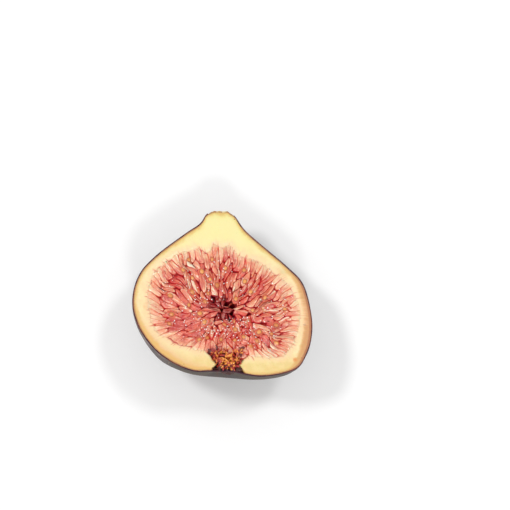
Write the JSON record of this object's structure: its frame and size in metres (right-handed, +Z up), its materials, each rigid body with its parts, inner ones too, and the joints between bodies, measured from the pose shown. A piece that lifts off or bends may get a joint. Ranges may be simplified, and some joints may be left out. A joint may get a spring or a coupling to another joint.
{
  "type": "fresh fig",
  "caption": "Half of a ripe purple fig, cut from stalk to eye and lying cut face up: dark skin, pale rind and red pulp with seeds.",
  "frame": {"origin": "middle of the half's bounding box, at its base, on the surface that it rests on", "axes": "+Z up, out of the cut face as the half rests; +Y towards the stalk end; +X across the cut face, towards its fuller side"},
  "size_m": [0.0526, 0.0502, 0.0289],
  "materials": {
    "skin": "satin",
    "rind": "satin",
    "pulp": "gloss",
    "seed": "gloss",
    "eye_scale": "satin"
  },
  "bodies": {
    "root": {"fig_half": "skin"}
  },
  "joints": []
}
